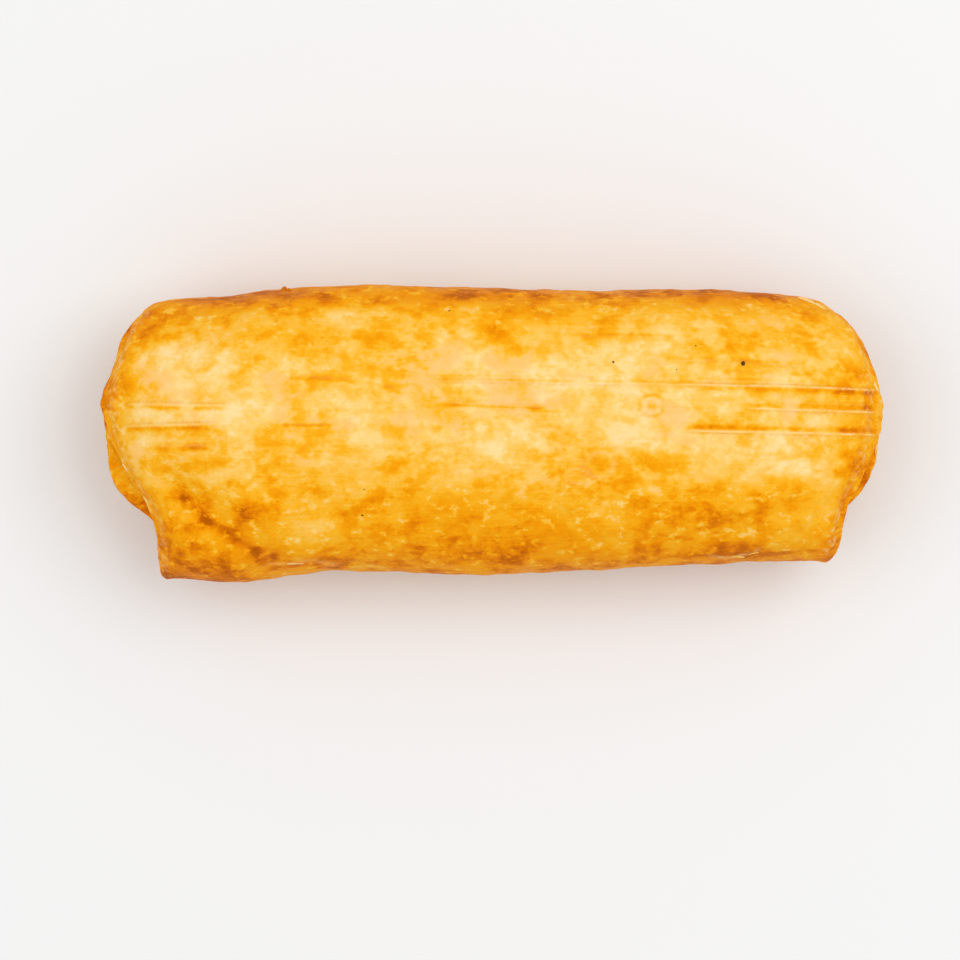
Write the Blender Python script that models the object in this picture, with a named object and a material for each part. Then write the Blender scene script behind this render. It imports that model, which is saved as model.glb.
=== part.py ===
"""Fried burrito: one flour tortilla rolled round its filling, with both ends folded in.

The skin is a spiral. It starts at the free edge of the flap, an arc that leaves the front corners of both
ends and lies on the underside between them. From there it runs up the front, over the top and down the back
before it goes under its own first turn. Only the folded ends show the later turns, as ridges that wind in to
a slit. So the mesh is a grid: its columns are angles round the roll, and its rows run from the slit at the
left end, over the ridges, along the roll and in again at the right end.

+X runs along the roll, +Y is the back, +Z is up, and the roll rests on z = 0. Angles round the roll are in
degrees: 0 at the front, 90 on top, 180 at the back and 270 underneath. "Wound" is the angle wound up since
the free edge, so each 360 of it is one turn further in.
"""

import bisect
import math

import bpy
from mathutils import Vector, noise

MM = 0.001
FULL_TURN = 360.0

# Driving dimensions
TOP_HEIGHT = 56 * MM
MIDDLE_HEIGHT = 26.5 * MM
CREST_Y = 5 * MM
FLAP_THICKNESS = 2.2 * MM
NODE_NAME = "rolled_tortilla"

# Main section: how far it reaches to the front and the back, as (x, reach) in millimetres
FRONT_REACH = ((-98, 41.9), (-84, 42.8), (-69, 43.5), (-57, 41.8), (-46, 40.3), (-27, 41.0), (-5, 41.8),
               (24, 40.4), (61, 38.5), (85, 37.6), (101, 36.4))
BACK_REACH = ((-101, 41.0), (-82, 42.0), (-60, 43.0), (-20, 43.4), (3, 43.3), (18, 42.1), (36, 41.8),
              (50, 42.7), (76, 42.4), (96, 41.6))
CREST_RISE = ((-110, -2.5), (-85, -0.6), (-40, 0.0), (-10, -0.7), (25, 0.0), (60, -0.8), (85, -1.4),
              (110, -3.0))
TOP_FRONT_POWER = 2.05
TOP_BACK_POWER = 2.6
BOTTOM_POWER = 2.7
BELLY_DROP = 2.2 * MM

# Folded ends: an oval at the rim that shrinks with each turn
TURNS = 3
RIM_CENTRE_Y = 4 * MM
RIM_CENTRE_Z = 24 * MM
RIM_BACK = {"left": 41.2 * MM, "right": 42.3 * MM}
RIM_FRONT = {"left": 43.3 * MM, "right": 38.6 * MM}
RIM_RISE = 19.5 * MM
RIM_POWER = 2.25
SIDE_PITCH = 5.2 * MM
RISE_PITCH = 4.6 * MM
GROOVE_DEPTH = 2.6 * MM
FOLD_ROUNDING = 1.7 * MM
SLIT_DEPTH = 2 * MM
FADE_OUT = 110.0

# How far the outermost fold line stands from the middle of the roll, as (angle, distance) in degrees and
# millimetres
RIM_LINE = {
    "left": ((-30, 97.0), (5, 98.3), (21, 98.5), (37, 99.0), (49, 100.2), (58, 102.2), (68.5, 106.9),
             (78.5, 110.8), (88.5, 113.2), (97.5, 114.8), (105, 114.3), (113.5, 112.7), (123, 110.9),
             (133.5, 109.2), (143.5, 107.3), (152, 105.4), (165, 103.6), (180, 102.2), (215, 101.5),
             (255, 101.0), (290, 99.5), (330, 97.0)),
    "right": ((-30, 98.6), (0, 99.8), (17, 101.4), (39, 103.2), (53.5, 104.6), (63.5, 108.2),
              (75, 111.1), (86, 112.6), (101.5, 113.0), (112, 112.3), (123.5, 110.4), (132, 108.6),
              (138.5, 106.9), (145.5, 104.9), (157, 101.4), (172, 98.4), (210, 98.0), (255, 99.5),
              (290, 99.0), (330, 97.0)),
}

# The folds inside it lie on a dome that is cut back below. Its line in front is given as (y, distance from
# the middle of the roll) in millimetres, and behind its peak it falls away in a curve.
DOME_LINE = {
    "left": ((-31, 95.0), (-25.7, 99.6), (-22.8, 102.6), (-20.3, 106.4), (-17.4, 109.6), (-15.2, 111.1),
             (-12, 112.4), (-6, 113.4), (0, 114.0), (8, 114.4)),
    "right": ((-31, 95.0), (-27, 97.6), (-21.2, 104.2), (-16, 109.1), (-10.6, 111.8), (-5, 113.1),
              (0, 113.8), (5, 114.4), (9, 114.9)),
}
DOME_Y = 8 * MM
DOME_Z = 33 * MM
DOME_BASE = 96 * MM
DOME_UNDERCUT = 0.85
DOME_BACK = 28 * MM
DOME_BACK_POWER = 1.3
DOME_START = 300.0

# A ridge in the folded end, from its outer groove to its inner one: how far across, and how far from its
# outer groove (0) by way of its crest (1) to its inner groove (2)
RIDGE_STEPS = ((0.0, 0.0), (0.10, 0.66), (0.36, 1.0), (0.64, 1.10), (0.88, 1.50), (1.0, 2.0))
CREST_STAGE = 1.0
CREST_ACROSS = 0.5

# How the main section narrows to the rim, by the angle round the roll: length of the taper in millimetres,
# and how square its shoulder is
TAPER_LENGTH = ((-90, 34), (-20, 22), (25, 20), (60, 30), (95, 36), (130, 42), (180, 52), (230, 40),
                (270, 34))
SHOULDER_POWER = ((-90, 1.7), (0, 2.6), (40, 2.2), (90, 1.6), (140, 1.7), (180, 1.8), (270, 1.7))

# Flap on the underside: its free edge is an arc, further round the roll at mid-length than at the ends
SEAM_ANGLE = -30.0
SEAM_SAG = 77.0
SEAM_FADE_FRONT = 60.0
SEAM_FADE_BACK = 112.0
STEP_RUN = 34.0
UNDER_FLAP_START = 0.75 * FULL_TURN

# Creases along the roll: angle round it, both ends along x and height, in degrees and millimetres
CREASES = (
    {"angle": 88.2, "from": -120, "to": -76, "height": 0.4},
    {"angle": 97.4, "from": -120, "to": -78, "height": 0.45},
    {"angle": 80.6, "from": -98, "to": -78, "height": 0.3},
    {"angle": 83.5, "from": 58, "to": 130, "height": 0.6},
    {"angle": 93.5, "from": 76, "to": 130, "height": 0.55},
    {"angle": 104.2, "from": 12, "to": 130, "height": 0.5},
)
CREASE_HALF_WIDTH = 1.15
CREASE_LEAN = 0.6
CREASE_FADE = 14.0

# A dent runs across the front left corner, and the flap puffs out below it, in plan millimetres
DENT_PATH = ((-94, -15), (-83, -24), (-74, -31), (-66, -39))
DENT_WIDTH = 5
DENT_DEPTH = 2 * MM
PUFF_CENTRE = (-85, -38)
PUFF_RADIUS = 11.0
PUFF_HEIGHT = 1.1 * MM

LUMP_SIZE = 24 * MM
LUMP_HEIGHT = 1.1 * MM
SMALL_LUMP_SIZE = 9 * MM
SMALL_LUMP_HEIGHT = 0.35 * MM
LUMP_FADE_HEIGHT = 12 * MM

# Grid: steps between columns in degrees, and gaps between rows, which are scaled to the roll's length
SIDE_STEP = 4.4
UNDERSIDE_START = 190.0
UNDERSIDE_STEP = 8.0
CREASE_OFFSETS = (-2.0, -0.7, 0.6, 2.1)
CREASE_COLUMN_GAP = 0.8
CREASE_CLEARANCE = 2.0
ROW_GAPS = (1.4, 1.9, 2.5, 3.0, 3.4, 3.8, 4.0, 4.2, 4.5, 5.0, 6.0, 7.2, 8.4, 9.4, 10.2, 10.8, 11.4)

# Steps, round the roll and along it, between the points that give the direction the skin faces
NORMAL_STEP_ROUND = 0.5
NORMAL_STEP_ALONG = 0.5 * MM

SKIN_COLOUR = (0.80, 0.42, 0.09, 1.0)
SKIN_ROUGHNESS = 0.5


def clear_scene():
    """Removes every object, so that the script can be run again."""
    for obj in list(bpy.data.objects):
        bpy.data.objects.remove(obj, do_unlink=True)


def mix(a, b, share):
    """The value that lies this share of the way from a to b."""
    return a + (b - a) * share


def ease(share):
    """0 up to 0 and 1 from 1, with a smooth step between."""
    share = min(1.0, max(0.0, share))
    return share * share * (3.0 - 2.0 * share)


def along(points, at):
    """The height at a place on a smooth curve through (place, height) points, level beyond its ends."""
    places = [place for place, _ in points]
    if at <= places[0]:
        return points[0][1]
    if at >= places[-1]:
        return points[-1][1]
    after = bisect.bisect_right(places, at)
    (x0, y0), (x1, y1) = points[after - 1], points[after]
    slopes = []
    for k in (after - 1, after):
        low, high = points[max(k - 1, 0)], points[min(k + 1, len(points) - 1)]
        slopes.append((high[1] - low[1]) / (high[0] - low[0]))
    width = x1 - x0
    t = (at - x0) / width
    return (
        (1 + 2 * t) * (1 - t) ** 2 * y0
        + t * (1 - t) ** 2 * width * slopes[0]
        + t * t * (3 - 2 * t) * y1
        + t * t * (t - 1) * width * slopes[1]
    )


def round_off(share, power):
    """The height of a superellipse of this power at this share of its half-width."""
    return max(0.0, 1.0 - abs(share) ** power) ** (1.0 / power)


def main_section(angle, x):
    """A point (y, z) of the roll's full section at x, before its ends narrow."""
    cosine, sine = math.cos(math.radians(angle)), math.sin(math.radians(angle))
    x_mm = x / MM
    if cosine > 0:
        y = CREST_Y - (along(FRONT_REACH, x_mm) * MM + CREST_Y) * cosine
        power = TOP_FRONT_POWER
    else:
        y = CREST_Y - (along(BACK_REACH, x_mm) * MM - CREST_Y) * cosine
        power = TOP_BACK_POWER
    if sine > 0:
        top = TOP_HEIGHT + along(CREST_RISE, x_mm) * MM
        return y, MIDDLE_HEIGHT + (top - MIDDLE_HEIGHT) * round_off(cosine, power)
    return y, MIDDLE_HEIGHT - (MIDDLE_HEIGHT + BELLY_DROP) * round_off(cosine, BOTTOM_POWER)


def rim_oval(end, angle, depth):
    """A point (y, z) on the oval of a folded end, this many turns in."""
    cosine, sine = math.cos(math.radians(angle)), math.sin(math.radians(angle))
    inset = SIDE_PITCH * depth
    if cosine > 0:
        y = RIM_CENTRE_Y - (RIM_FRONT[end] - inset + RIM_CENTRE_Y) * cosine
    else:
        y = RIM_CENTRE_Y - (RIM_BACK[end] - inset - RIM_CENTRE_Y) * cosine
    rise = (RIM_RISE - RISE_PITCH * depth) * round_off(cosine, RIM_POWER)
    return y, RIM_CENTRE_Z + math.copysign(rise, sine)


def dome_distance(end, y, z):
    """How far the dome of a folded end stands from the middle of the roll at a place across it."""
    rise = along(DOME_LINE[end], y / MM) * MM - DOME_BASE
    if y > DOME_Y:
        rise *= round_off(min(1.0, (y - DOME_Y) / DOME_BACK), DOME_BACK_POWER)
    return DOME_BASE + rise * (1.0 - DOME_UNDERCUT * ((DOME_Z - z) / DOME_Z) ** 2)


def rim_distance(end, wound):
    """How far the fold line stands from the middle of the roll: the outermost turn has its own line."""
    angle = SEAM_ANGLE + wound
    inner = dome_distance(end, *rim_oval(end, angle, wound / FULL_TURN + CREST_ACROSS))
    on_dome = ease((angle - DOME_START) / (SEAM_ANGLE + FULL_TURN - DOME_START))
    return mix(along(RIM_LINE[end], angle) * MM, inner, on_dome)


def groove_distance(end, wound):
    """How far the groove inside the fold line at this angle stands from the middle of the roll."""
    return min(rim_distance(end, wound), rim_distance(end, wound + FULL_TURN)) - GROOVE_DEPTH


def tube_end(end, wound):
    """Where the side of the roll turns into its first fold: under the flap, that is in the flap's groove."""
    under_flap = ease((wound - UNDER_FLAP_START) / (FULL_TURN - UNDER_FLAP_START))
    return mix(rim_distance(end, wound) - FOLD_ROUNDING, groove_distance(end, 0.0), under_flap)


def shifted_angle(column, x):
    """A column's angle at x. Columns near the seam follow the flap's free edge."""
    shift = -SEAM_SAG * max(0.0, 1.0 - (x / tube_end("left", 0.0)) ** 2)
    if column < SEAM_FADE_FRONT:
        return column + shift * ease((SEAM_FADE_FRONT - column) / (SEAM_FADE_FRONT - SEAM_ANGLE))
    return column + shift * ease((column - SEAM_FADE_BACK) / (SEAM_ANGLE + FULL_TURN - SEAM_FADE_BACK))


def distance_to_path(x, y, path):
    """The distance in plan from a point to a line of straight stretches."""
    nearest = math.inf
    spot = Vector((x, y))
    for first, second in zip(path, path[1:]):
        start, run = Vector(first), Vector(second) - Vector(first)
        share = min(1.0, max(0.0, (spot - start).dot(run) / run.length_squared))
        nearest = min(nearest, (spot - start - run * share).length)
    return nearest


def bump(distance, width):
    """1 at no distance, falling smoothly to nothing past about twice the width."""
    return math.exp(-((distance / width) ** 2))


def crease_height(angle, x):
    """The relief of the creases: each is a thin ridge with a groove behind it."""
    height = 0.0
    for crease in CREASES:
        offset = (angle - crease["angle"]) / CREASE_HALF_WIDTH
        ridge = bump(offset + CREASE_LEAN, 1.0) - bump(offset - CREASE_LEAN, 1.0)
        begun = ease((x / MM - crease["from"]) / CREASE_FADE)
        lasting = ease((crease["to"] - x / MM) / CREASE_FADE)
        height += crease["height"] * MM * begun * lasting * ridge
    return height


def relief(point, angle):
    """How far the skin stands out of its plain form at a point of the roll's side."""
    lumps = LUMP_HEIGHT * noise.noise(point / LUMP_SIZE)
    lumps += SMALL_LUMP_HEIGHT * noise.noise(point / SMALL_LUMP_SIZE)
    x, y = point.x / MM, point.y / MM
    dent = DENT_DEPTH * bump(distance_to_path(x, y, DENT_PATH), DENT_WIDTH)
    puff = PUFF_HEIGHT * bump(math.hypot(x - PUFF_CENTRE[0], y - PUFF_CENTRE[1]), PUFF_RADIUS)
    upper_side = ease((point.z - MIDDLE_HEIGHT) / LUMP_FADE_HEIGHT + 1.0)
    clear_of_floor = ease(point.z / LUMP_FADE_HEIGHT)
    return clear_of_floor * lumps + upper_side * (puff - dent) + crease_height(angle, point.x)


def fullness(angle, x, end, wound):
    """How much of the full section the roll has at x: 0 at the rim, 1 past the taper."""
    around = (angle + 90.0) % FULL_TURN - 90.0
    from_rim = max(0.0, tube_end(end, wound) - abs(x)) / MM
    narrowed = max(0.0, 1.0 - from_rim / along(TAPER_LENGTH, around))
    return round_off(narrowed, along(SHOULDER_POWER, around))


def plain_side(angle, x, end, wound):
    """A point of the roll's side in its plain form, with no relief. End names the nearer end."""
    rim_y, rim_z = rim_oval(end, angle, wound / FULL_TURN)
    full_y, full_z = main_section(angle, x)
    share = fullness(angle, x, end, wound)
    return Vector((x, mix(rim_y, full_y, share), mix(rim_z, full_z, share)))


def side_point(column, x, end):
    """A point of the roll's side, with its relief, at a column's angle and a place along the roll."""
    wound = column - SEAM_ANGLE
    angle = shifted_angle(column, x)
    point = plain_side(angle, x, end, wound)
    ahead = plain_side(angle + NORMAL_STEP_ROUND, x, end, wound)
    beside = plain_side(angle, x + NORMAL_STEP_ALONG, end, wound)
    outward = (beside - point).cross(ahead - point).normalized()
    point = point + outward * relief(point, angle)
    point.z = max(point.z, 0.0)
    under_flap = ease((wound - FULL_TURN + STEP_RUN) / STEP_RUN)
    return point - outward * FLAP_THICKNESS * under_flap * fullness(angle, x, end, wound)


def ridge_points(end, column, turn):
    """The points of one ridge of a folded end at a column, from its outer groove to its inner one.

    The innermost ridge narrows to nothing at its end, so that the slit inside it is one closed loop.
    """
    side = -1.0 if end == "left" else 1.0
    wound = column - SEAM_ANGLE + turn * FULL_TURN
    width = ease((TURNS * FULL_TURN - wound) / FADE_OUT)
    outer = tube_end(end, wound) if turn == 0 else groove_distance(end, wound - FULL_TURN)
    crest = mix(outer, rim_distance(end, wound), width)
    inner = mix(outer, groove_distance(end, wound), width)
    points = []
    for across, stage in RIDGE_STEPS:
        rising = stage <= CREST_STAGE
        x = mix(outer, crest, stage) if rising else mix(crest, inner, stage - CREST_STAGE)
        y, z = rim_oval(end, column, wound / FULL_TURN + across * width)
        points.append(Vector((side * x, y, z)))
    return points


def column_angles():
    """The angles of the grid's columns, from the flap's free edge once round to it again."""
    plain = []
    angle = SEAM_ANGLE
    while angle < SEAM_ANGLE + FULL_TURN - 0.5 * UNDERSIDE_STEP:
        plain.append(angle)
        angle += SIDE_STEP if angle < UNDERSIDE_START else UNDERSIDE_STEP
    plain.append(SEAM_ANGLE + FULL_TURN)
    creased = []
    for angle in sorted(crease["angle"] + offset for crease in CREASES for offset in CREASE_OFFSETS):
        if not creased or angle - creased[-1] > CREASE_COLUMN_GAP:
            creased.append(angle)
    clear = [a for a in plain if min(abs(a - c) for c in creased) > CREASE_CLEARANCE]
    return sorted(clear + creased)


def row_places(left, right):
    """Places along the roll between its two ends, closer together near them, each with its nearer end."""
    total = sum(ROW_GAPS)
    steps = [sum(ROW_GAPS[:count]) / total for count in range(len(ROW_GAPS) + 1)]
    from_left = [(-left * (1.0 - step), "left") for step in steps]
    from_right = [(right * (1.0 - step), "right") for step in reversed(steps[:-1])]
    return from_left + from_right


class Skin:
    """Collects the points and faces of the tortilla's skin."""

    def __init__(self):
        self.points = []
        self.faces = []

    def add(self, points):
        """Adds points and returns their numbers."""
        self.points.extend(points)
        return list(range(len(self.points) - len(points), len(self.points)))

    def face(self, corners, flip):
        """Adds a face through those corners that differ, with their order turned round for a flip."""
        corners = list(dict.fromkeys(corners))
        if len(corners) > 2:
            self.faces.append(corners[::-1] if flip else corners)


def number_ridges(skin, end, columns, side):
    """Adds an end's ridges. A turn ends in the points that start the next, and the last in one point."""
    tip = 0 if end == "left" else -1
    turns = []
    for turn in range(TURNS):
        ridge = []
        for number, column in enumerate(columns[:-1]):
            outer = side[number][tip] if turn == 0 else turns[turn - 1][number][-1]
            ridge.append([outer] + skin.add(ridge_points(end, column, turn)[1:]))
        turns.append(ridge)
    for turn in range(TURNS - 1):
        turns[turn].append(turns[turn + 1][0])
    turns[-1].append([turns[-1][0][-1]] * len(RIDGE_STEPS))
    side[-1][tip] = turns[0][0][-1]
    return turns


def face_side(skin, side):
    """Faces the roll's side, and the step at the flap's free edge."""
    for near, far in zip(side, side[1:] + side[:1]):
        for row in range(len(near) - 1):
            skin.face((near[row], near[row + 1], far[row + 1], far[row]), flip=False)


def face_end(skin, turns, end):
    """Faces an end's ridges, the end of the flap's free edge, and the slit in the middle."""
    flip = end == "left"
    for ridge in turns:
        for near, far in zip(ridge, ridge[1:]):
            for step in range(len(near) - 1):
                skin.face((near[step], near[step + 1], far[step + 1], far[step]), flip)
    flap = turns[0][0]
    for step in range(len(flap) - 2):
        skin.face((flap[-1], flap[step + 1], flap[step]), flip)
    slit = [points[-1] for points in turns[-1][:-1]]
    deepest = dome_distance(end, RIM_CENTRE_Y, RIM_CENTRE_Z) - GROOVE_DEPTH - SLIT_DEPTH
    x = -deepest if flip else deepest
    middle = skin.add([Vector((x, RIM_CENTRE_Y, RIM_CENTRE_Z))])[0]
    for near, far in zip(slit, slit[1:] + slit[:1]):
        skin.face((near, middle, far), flip)


def build_skin():
    """Makes the points and faces of the tortilla's closed skin."""
    skin = Skin()
    columns = column_angles()
    side = []
    for column in columns:
        wound = column - SEAM_ANGLE
        places = row_places(tube_end("left", wound), tube_end("right", wound))
        if column == columns[-1]:
            inner = skin.add([side_point(column, x, end) for x, end in places[1:-1]])
            side.append([None] + inner + [None])
        else:
            side.append(skin.add([side_point(column, x, end) for x, end in places]))
    for end in ("left", "right"):
        turns = number_ridges(skin, end, columns, side)
        face_end(skin, turns, end)
    face_side(skin, side)
    return skin


def skin_material():
    """Fried flour tortilla, golden and faintly oily."""
    material = bpy.data.materials.new("fried_tortilla")
    material.use_nodes = True
    shader = material.node_tree.nodes["Principled BSDF"]
    shader.inputs["Base Color"].default_value = SKIN_COLOUR
    shader.inputs["Roughness"].default_value = SKIN_ROUGHNESS
    shader.inputs["Metallic"].default_value = 0.0
    return material


def main():
    """Builds the burrito."""
    clear_scene()
    skin = build_skin()
    mesh = bpy.data.meshes.new(NODE_NAME)
    mesh.from_pydata(skin.points, [], skin.faces)
    mesh.shade_smooth()
    mesh.materials.append(skin_material())
    burrito = bpy.data.objects.new(NODE_NAME, mesh)
    bpy.context.scene.collection.objects.link(burrito)


main()
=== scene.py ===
"""Looks of a fried burrito: mottled, blistered skin, its crust flakes and specks, and the studio round it.

+X runs along the roll, +Y is its back and +Z is up. Lengths are in metres where a name is built with MM, and
the lists of patches and lines are in plan millimetres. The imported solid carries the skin: a copy of its mesh
is made finer, given its fine relief and the values that its finish reads, and dressed.
"""

import logging
import math
from dataclasses import dataclass
from enum import Enum

import bmesh
import bpy
import numpy as np
from mathutils import Matrix, Vector, bvhtree, kdtree, noise


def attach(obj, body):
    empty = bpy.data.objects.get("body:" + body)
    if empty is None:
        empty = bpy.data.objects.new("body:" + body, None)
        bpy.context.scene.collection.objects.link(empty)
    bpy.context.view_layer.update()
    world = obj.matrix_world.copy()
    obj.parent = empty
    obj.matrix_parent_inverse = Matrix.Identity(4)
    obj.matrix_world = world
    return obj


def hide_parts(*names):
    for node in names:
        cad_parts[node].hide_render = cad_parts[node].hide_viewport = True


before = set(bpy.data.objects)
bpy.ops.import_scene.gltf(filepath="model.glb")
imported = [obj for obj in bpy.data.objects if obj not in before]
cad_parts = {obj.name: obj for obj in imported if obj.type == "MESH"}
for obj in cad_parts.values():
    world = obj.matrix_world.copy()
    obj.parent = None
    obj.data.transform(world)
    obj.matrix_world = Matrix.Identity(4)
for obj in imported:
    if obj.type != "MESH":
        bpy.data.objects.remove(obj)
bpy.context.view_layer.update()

MM = 0.001
CAD_NODE = "rolled_tortilla"
CAD_BODY = "root"
LOG = logging.getLogger("burrito")

Colour = tuple[float, float, float]
Socket = bpy.types.NodeSocket


class Field(Enum):
    """The values that the skin carries at its vertices for its finish to read."""

    DONENESS = "doneness"
    BLISTER = "blister"
    PALE_LINE = "pale_line"
    ORANGE_LINE = "orange_and_shade_line"
    # Where shade is painted: hollows, the slit between the folded ends and the gaps beside crests and rims
    GROOVE = "groove_shade"
    FOLD = "fold"


@dataclass(frozen=True)
class Patch:
    """A soft oval patch of the skin, seen from above: browner where the change is above 0, else paler."""

    x: float
    y: float
    length: float
    width: float
    change: float


@dataclass(frozen=True)
class Line:
    """A thin line on the upper side: a pale crest with a soft orange band on one side and a gap on the other.

    The path is in plan, and every length is in millimetres. Raised and width are the crest's height and
    half-width. Pale, orange and shadow are how strongly the crest, the band and the gap are tinted; the band
    is partly browning and partly painted shade, and the gap is painted shadow. Offset is how far the middle
    of the band lies behind the crest (below 0: in front), and spread is its half-width.
    """

    path: tuple[tuple[float, float], ...]
    raised: float
    pale: float
    orange: float
    width: float = 0.3
    offset: float = 0.9
    spread: float = 0.7
    shadow: float = 0.0


@dataclass(frozen=True)
class Ring:
    """A burst blister, seen from above: a pale ring round a darker middle, in millimetres."""

    x: float
    y: float
    radius: float
    strength: float


# Patches of the photo's crust, from left to right
PATCHES = (
    Patch(-110.5, -9, 4, 8, 0.2),
    Patch(-108, 18, 4, 8, 0.16),
    Patch(-105.5, -19, 4, 6, 0.18),
    Patch(-103, 31, 6, 6, 0.34),
    Patch(-97, 1, 8, 2.5, 0.14),
    Patch(-99, 21, 6, 5, -0.1),
    Patch(-100, -33, 4, 8, 0.1),
    Patch(-92, -41, 14, 3, 0.22),
    Patch(-91, -17, 6, 4, 0.12),
    Patch(-88, 35, 12, 6, 0.14),
    Patch(-78, 41, 14, 3.5, 0.32),
    Patch(-83, -24, 5, 4, 0.12),
    Patch(-76, -29.5, 4, 3, 0.24),
    Patch(-72.5, -22, 3.5, 4.5, 0.16),
    Patch(-71, 28, 10, 5, 0.12),
    Patch(-70, 6, 18, 4, -0.1),
    Patch(-69, -34, 11, 4, 0.1),
    Patch(-65, 13, 8, 3, 0.12),
    Patch(-62, 41, 22, 3, 0.16),
    Patch(-55, 28, 9, 5, 0.18),
    Patch(-52, -12, 14, 3, 0.1),
    Patch(-52, -28, 5, 4, -0.14),
    Patch(-41, 33, 8, 5, -0.14),
    Patch(-37, -7, 8, 6, 0.08),
    Patch(-34, -22, 9, 4, 0.08),
    Patch(-33, 24, 6, 5, 0.08),
    Patch(-12, -23, 11, 7, 0.2),
    Patch(-11, 40, 16, 3, 0.16),
    Patch(-8, 28, 7, 6, -0.12),
    Patch(-6, -5, 12, 6, -0.1),
    Patch(-5, -35, 12, 4, 0.12),
    Patch(1, 30, 4, 4, 0.14),
    Patch(11, 35, 11, 6, 0.16),
    Patch(17, -29, 13, 8, 0.2),
    Patch(21, 3, 10, 5, 0.1),
    Patch(27, -13, 8, 4, 0.12),
    Patch(29, -20, 6, 2.5, -0.12),
    Patch(33, 8, 7, 6, 0.1),
    Patch(36, 28, 6, 5, -0.1),
    Patch(39, 40, 9, 3, 0.12),
    Patch(42, -21, 7, 6, 0.12),
    Patch(50, 17, 12, 7, 0.09),
    Patch(52, -17, 7, 3, -0.14),
    Patch(60, 39, 7, 4, 0.16),
    Patch(62, -23, 18, 9, 0.07),
    Patch(64, 34, 5, 4, -0.14),
    Patch(68, -7, 5, 5, 0.08),
    Patch(70, -33, 9, 3, 0.16),
    Patch(79, 42, 15, 4, 0.36),
    Patch(79, 27, 11, 6, 0.14),
    Patch(80, 11, 9, 4, 0.08),
    Patch(81, -17, 8, 4, 0.08),
    Patch(86, -11, 7, 2.5, -0.14),
    Patch(91, -22, 8, 5, 0.06),
    Patch(97, 9, 9, 2.5, 0.1),
    Patch(99, -34, 5, 6, 0.2),
    Patch(107, -15, 3, 8, 0.12),
    Patch(107, 3, 7, 3, 0.05),
)

# Lines along the roll, where the rolling creased the skin, and the crinkles at its front left corner
LINES = (
    # Each line's orange band is partly browning and partly painted shade, and its gap is painted shadow
    Line(((-109, 8.4), (-100, 8.4), (-88, 8.1), (-76, 7.9)), 0.05, 0.5, 0.5, 0.3, -0.9, 0.6, 0.2),
    Line(((-110, 1.9), (-102, 2.2), (-92, 2.4), (-80, 2.6)), 0.05, 0.5, 0.7, 0.3, -0.9, 0.8, 0.3),
    Line(((-101, -3.8), (-92, -3.6), (-80, -3.5)), 0.03, 0.2, 0.6, 0.3, -0.6, 1.0, 0.1),
    Line(((-64, 2.6), (-54, 2.6), (-46, 2.7)), 0.02, 0.1, 0.6, 0.3, -0.3, 0.5),
    Line(((-62, 16.8), (-48, 16.1), (-37, 15.2), (-27, 12.7)), 0.02, 0.1, 0.45, 0.3, -0.4, 0.7),
    Line(((-17, 8.9), (-6, 8.4), (4, 7.9), (16, 7.5)), 0.03, 0.15, 0.75, 0.3, -0.4, 0.6, 0.15),
    Line(((-4, 7.0), (8, 6.6), (20, 6.2)), 0.02, 0.0, 0.4, 0.3, 0.0, 0.35),
    Line(((-20, 15.4), (0, 15.2), (25, 14.6)), 0.05, 0.15, 0.5, 0.3, 0.3, 0.4, 0.2),
    Line(((-22, 16.5), (-4, 16.3), (12, 15.9)), 0.03, 0.1, 0.35, 0.25, 0.3, 0.3, 0.1),
    Line(((25, 14.6), (44, 14.3), (64, 14.0)), 0.06, 0.4, 0.3, 0.28, 0.6, 0.4, 0.2),
    Line(((58, 14.1), (72, 13.8), (86, 13.6), (98, 13.2), (113, 12.6)), 0.07, 0.9, 0.6, 0.26, -1.0, 0.9, 0.3),
    Line(((56, 15.3), (74, 15.0), (92, 14.4)), 0.02, 0.2, 0.3, 0.25, 0.5, 0.4, 0.1),
    Line(((48, 21.4), (64, 21.0), (78, 20.4), (92, 19.6)), 0.03, 0.2, 0.4, 0.28, 0.4, 0.5, 0.1),
    Line(((66, 17.6), (80, 17.2), (96, 16.4)), 0.02, 0.1, 0.3, 0.25, 0.3, 0.5),
    Line(((18, 28.3), (38, 28.2), (58, 28.0)), 0.02, 0.1, 0.4, 0.3, 0.3, 0.5),
    Line(((72, 7.3), (84, 6.9), (97, 6.6), (113, 6.1)), 0.07, 0.95, 0.7, 0.26, 1.1, 0.9, 0.3),
    Line(((86, 9.0), (98, 8.8), (110, 8.3)), 0.02, 0.1, 0.35, 0.25, 0.2, 0.4),
    Line(((54, 0.8), (66, 0.5), (82, 0.2), (98, -0.1), (113.5, -0.5)), 0.07, 0.95, 0.8, 0.26, 1.1, 0.9, 0.35),
    Line(
        ((-69, -41), (-66, -38.5), (-60, -38), (-54, -37), (-47, -38), (-43, -38.5)),
        0.12, 0.3, 0.7, 0.3, -1.2, 0.9, 0.35,
    ),
    Line(((61, -35.5), (70, -36.5), (76, -35), (79, -33)), 0.12, 0.6, 0.3, 0.3, -0.8, 0.5),
    Line(((55, -36.6), (68, -35.6), (84, -35.2), (97, -34.0)), 0.04, 0.0, 0.4, 0.3, 0.0, 0.5, 0.35),
    Line(
        ((-94, -15), (-89, -20), (-83, -26), (-76, -30), (-69, -35), (-62, -37)),
        0.0, 0.0, 0.85, 0.4, 0.0, 1.7,
    ),
    Line(((-70, -17), (-72, -22), (-75, -27), (-77, -31)), 0.0, 0.0, 0.6, 0.4, 0.0, 1.6),
)

RINGS = (
    Ring(45.9, 7.9, 2.5, 1.0),
    Ring(16.5, -2.0, 3.6, 0.35),
    Ring(30.9, -9.3, 4.2, 0.4),
    Ring(24.0, -12.5, 2.6, 0.3),
)


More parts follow.
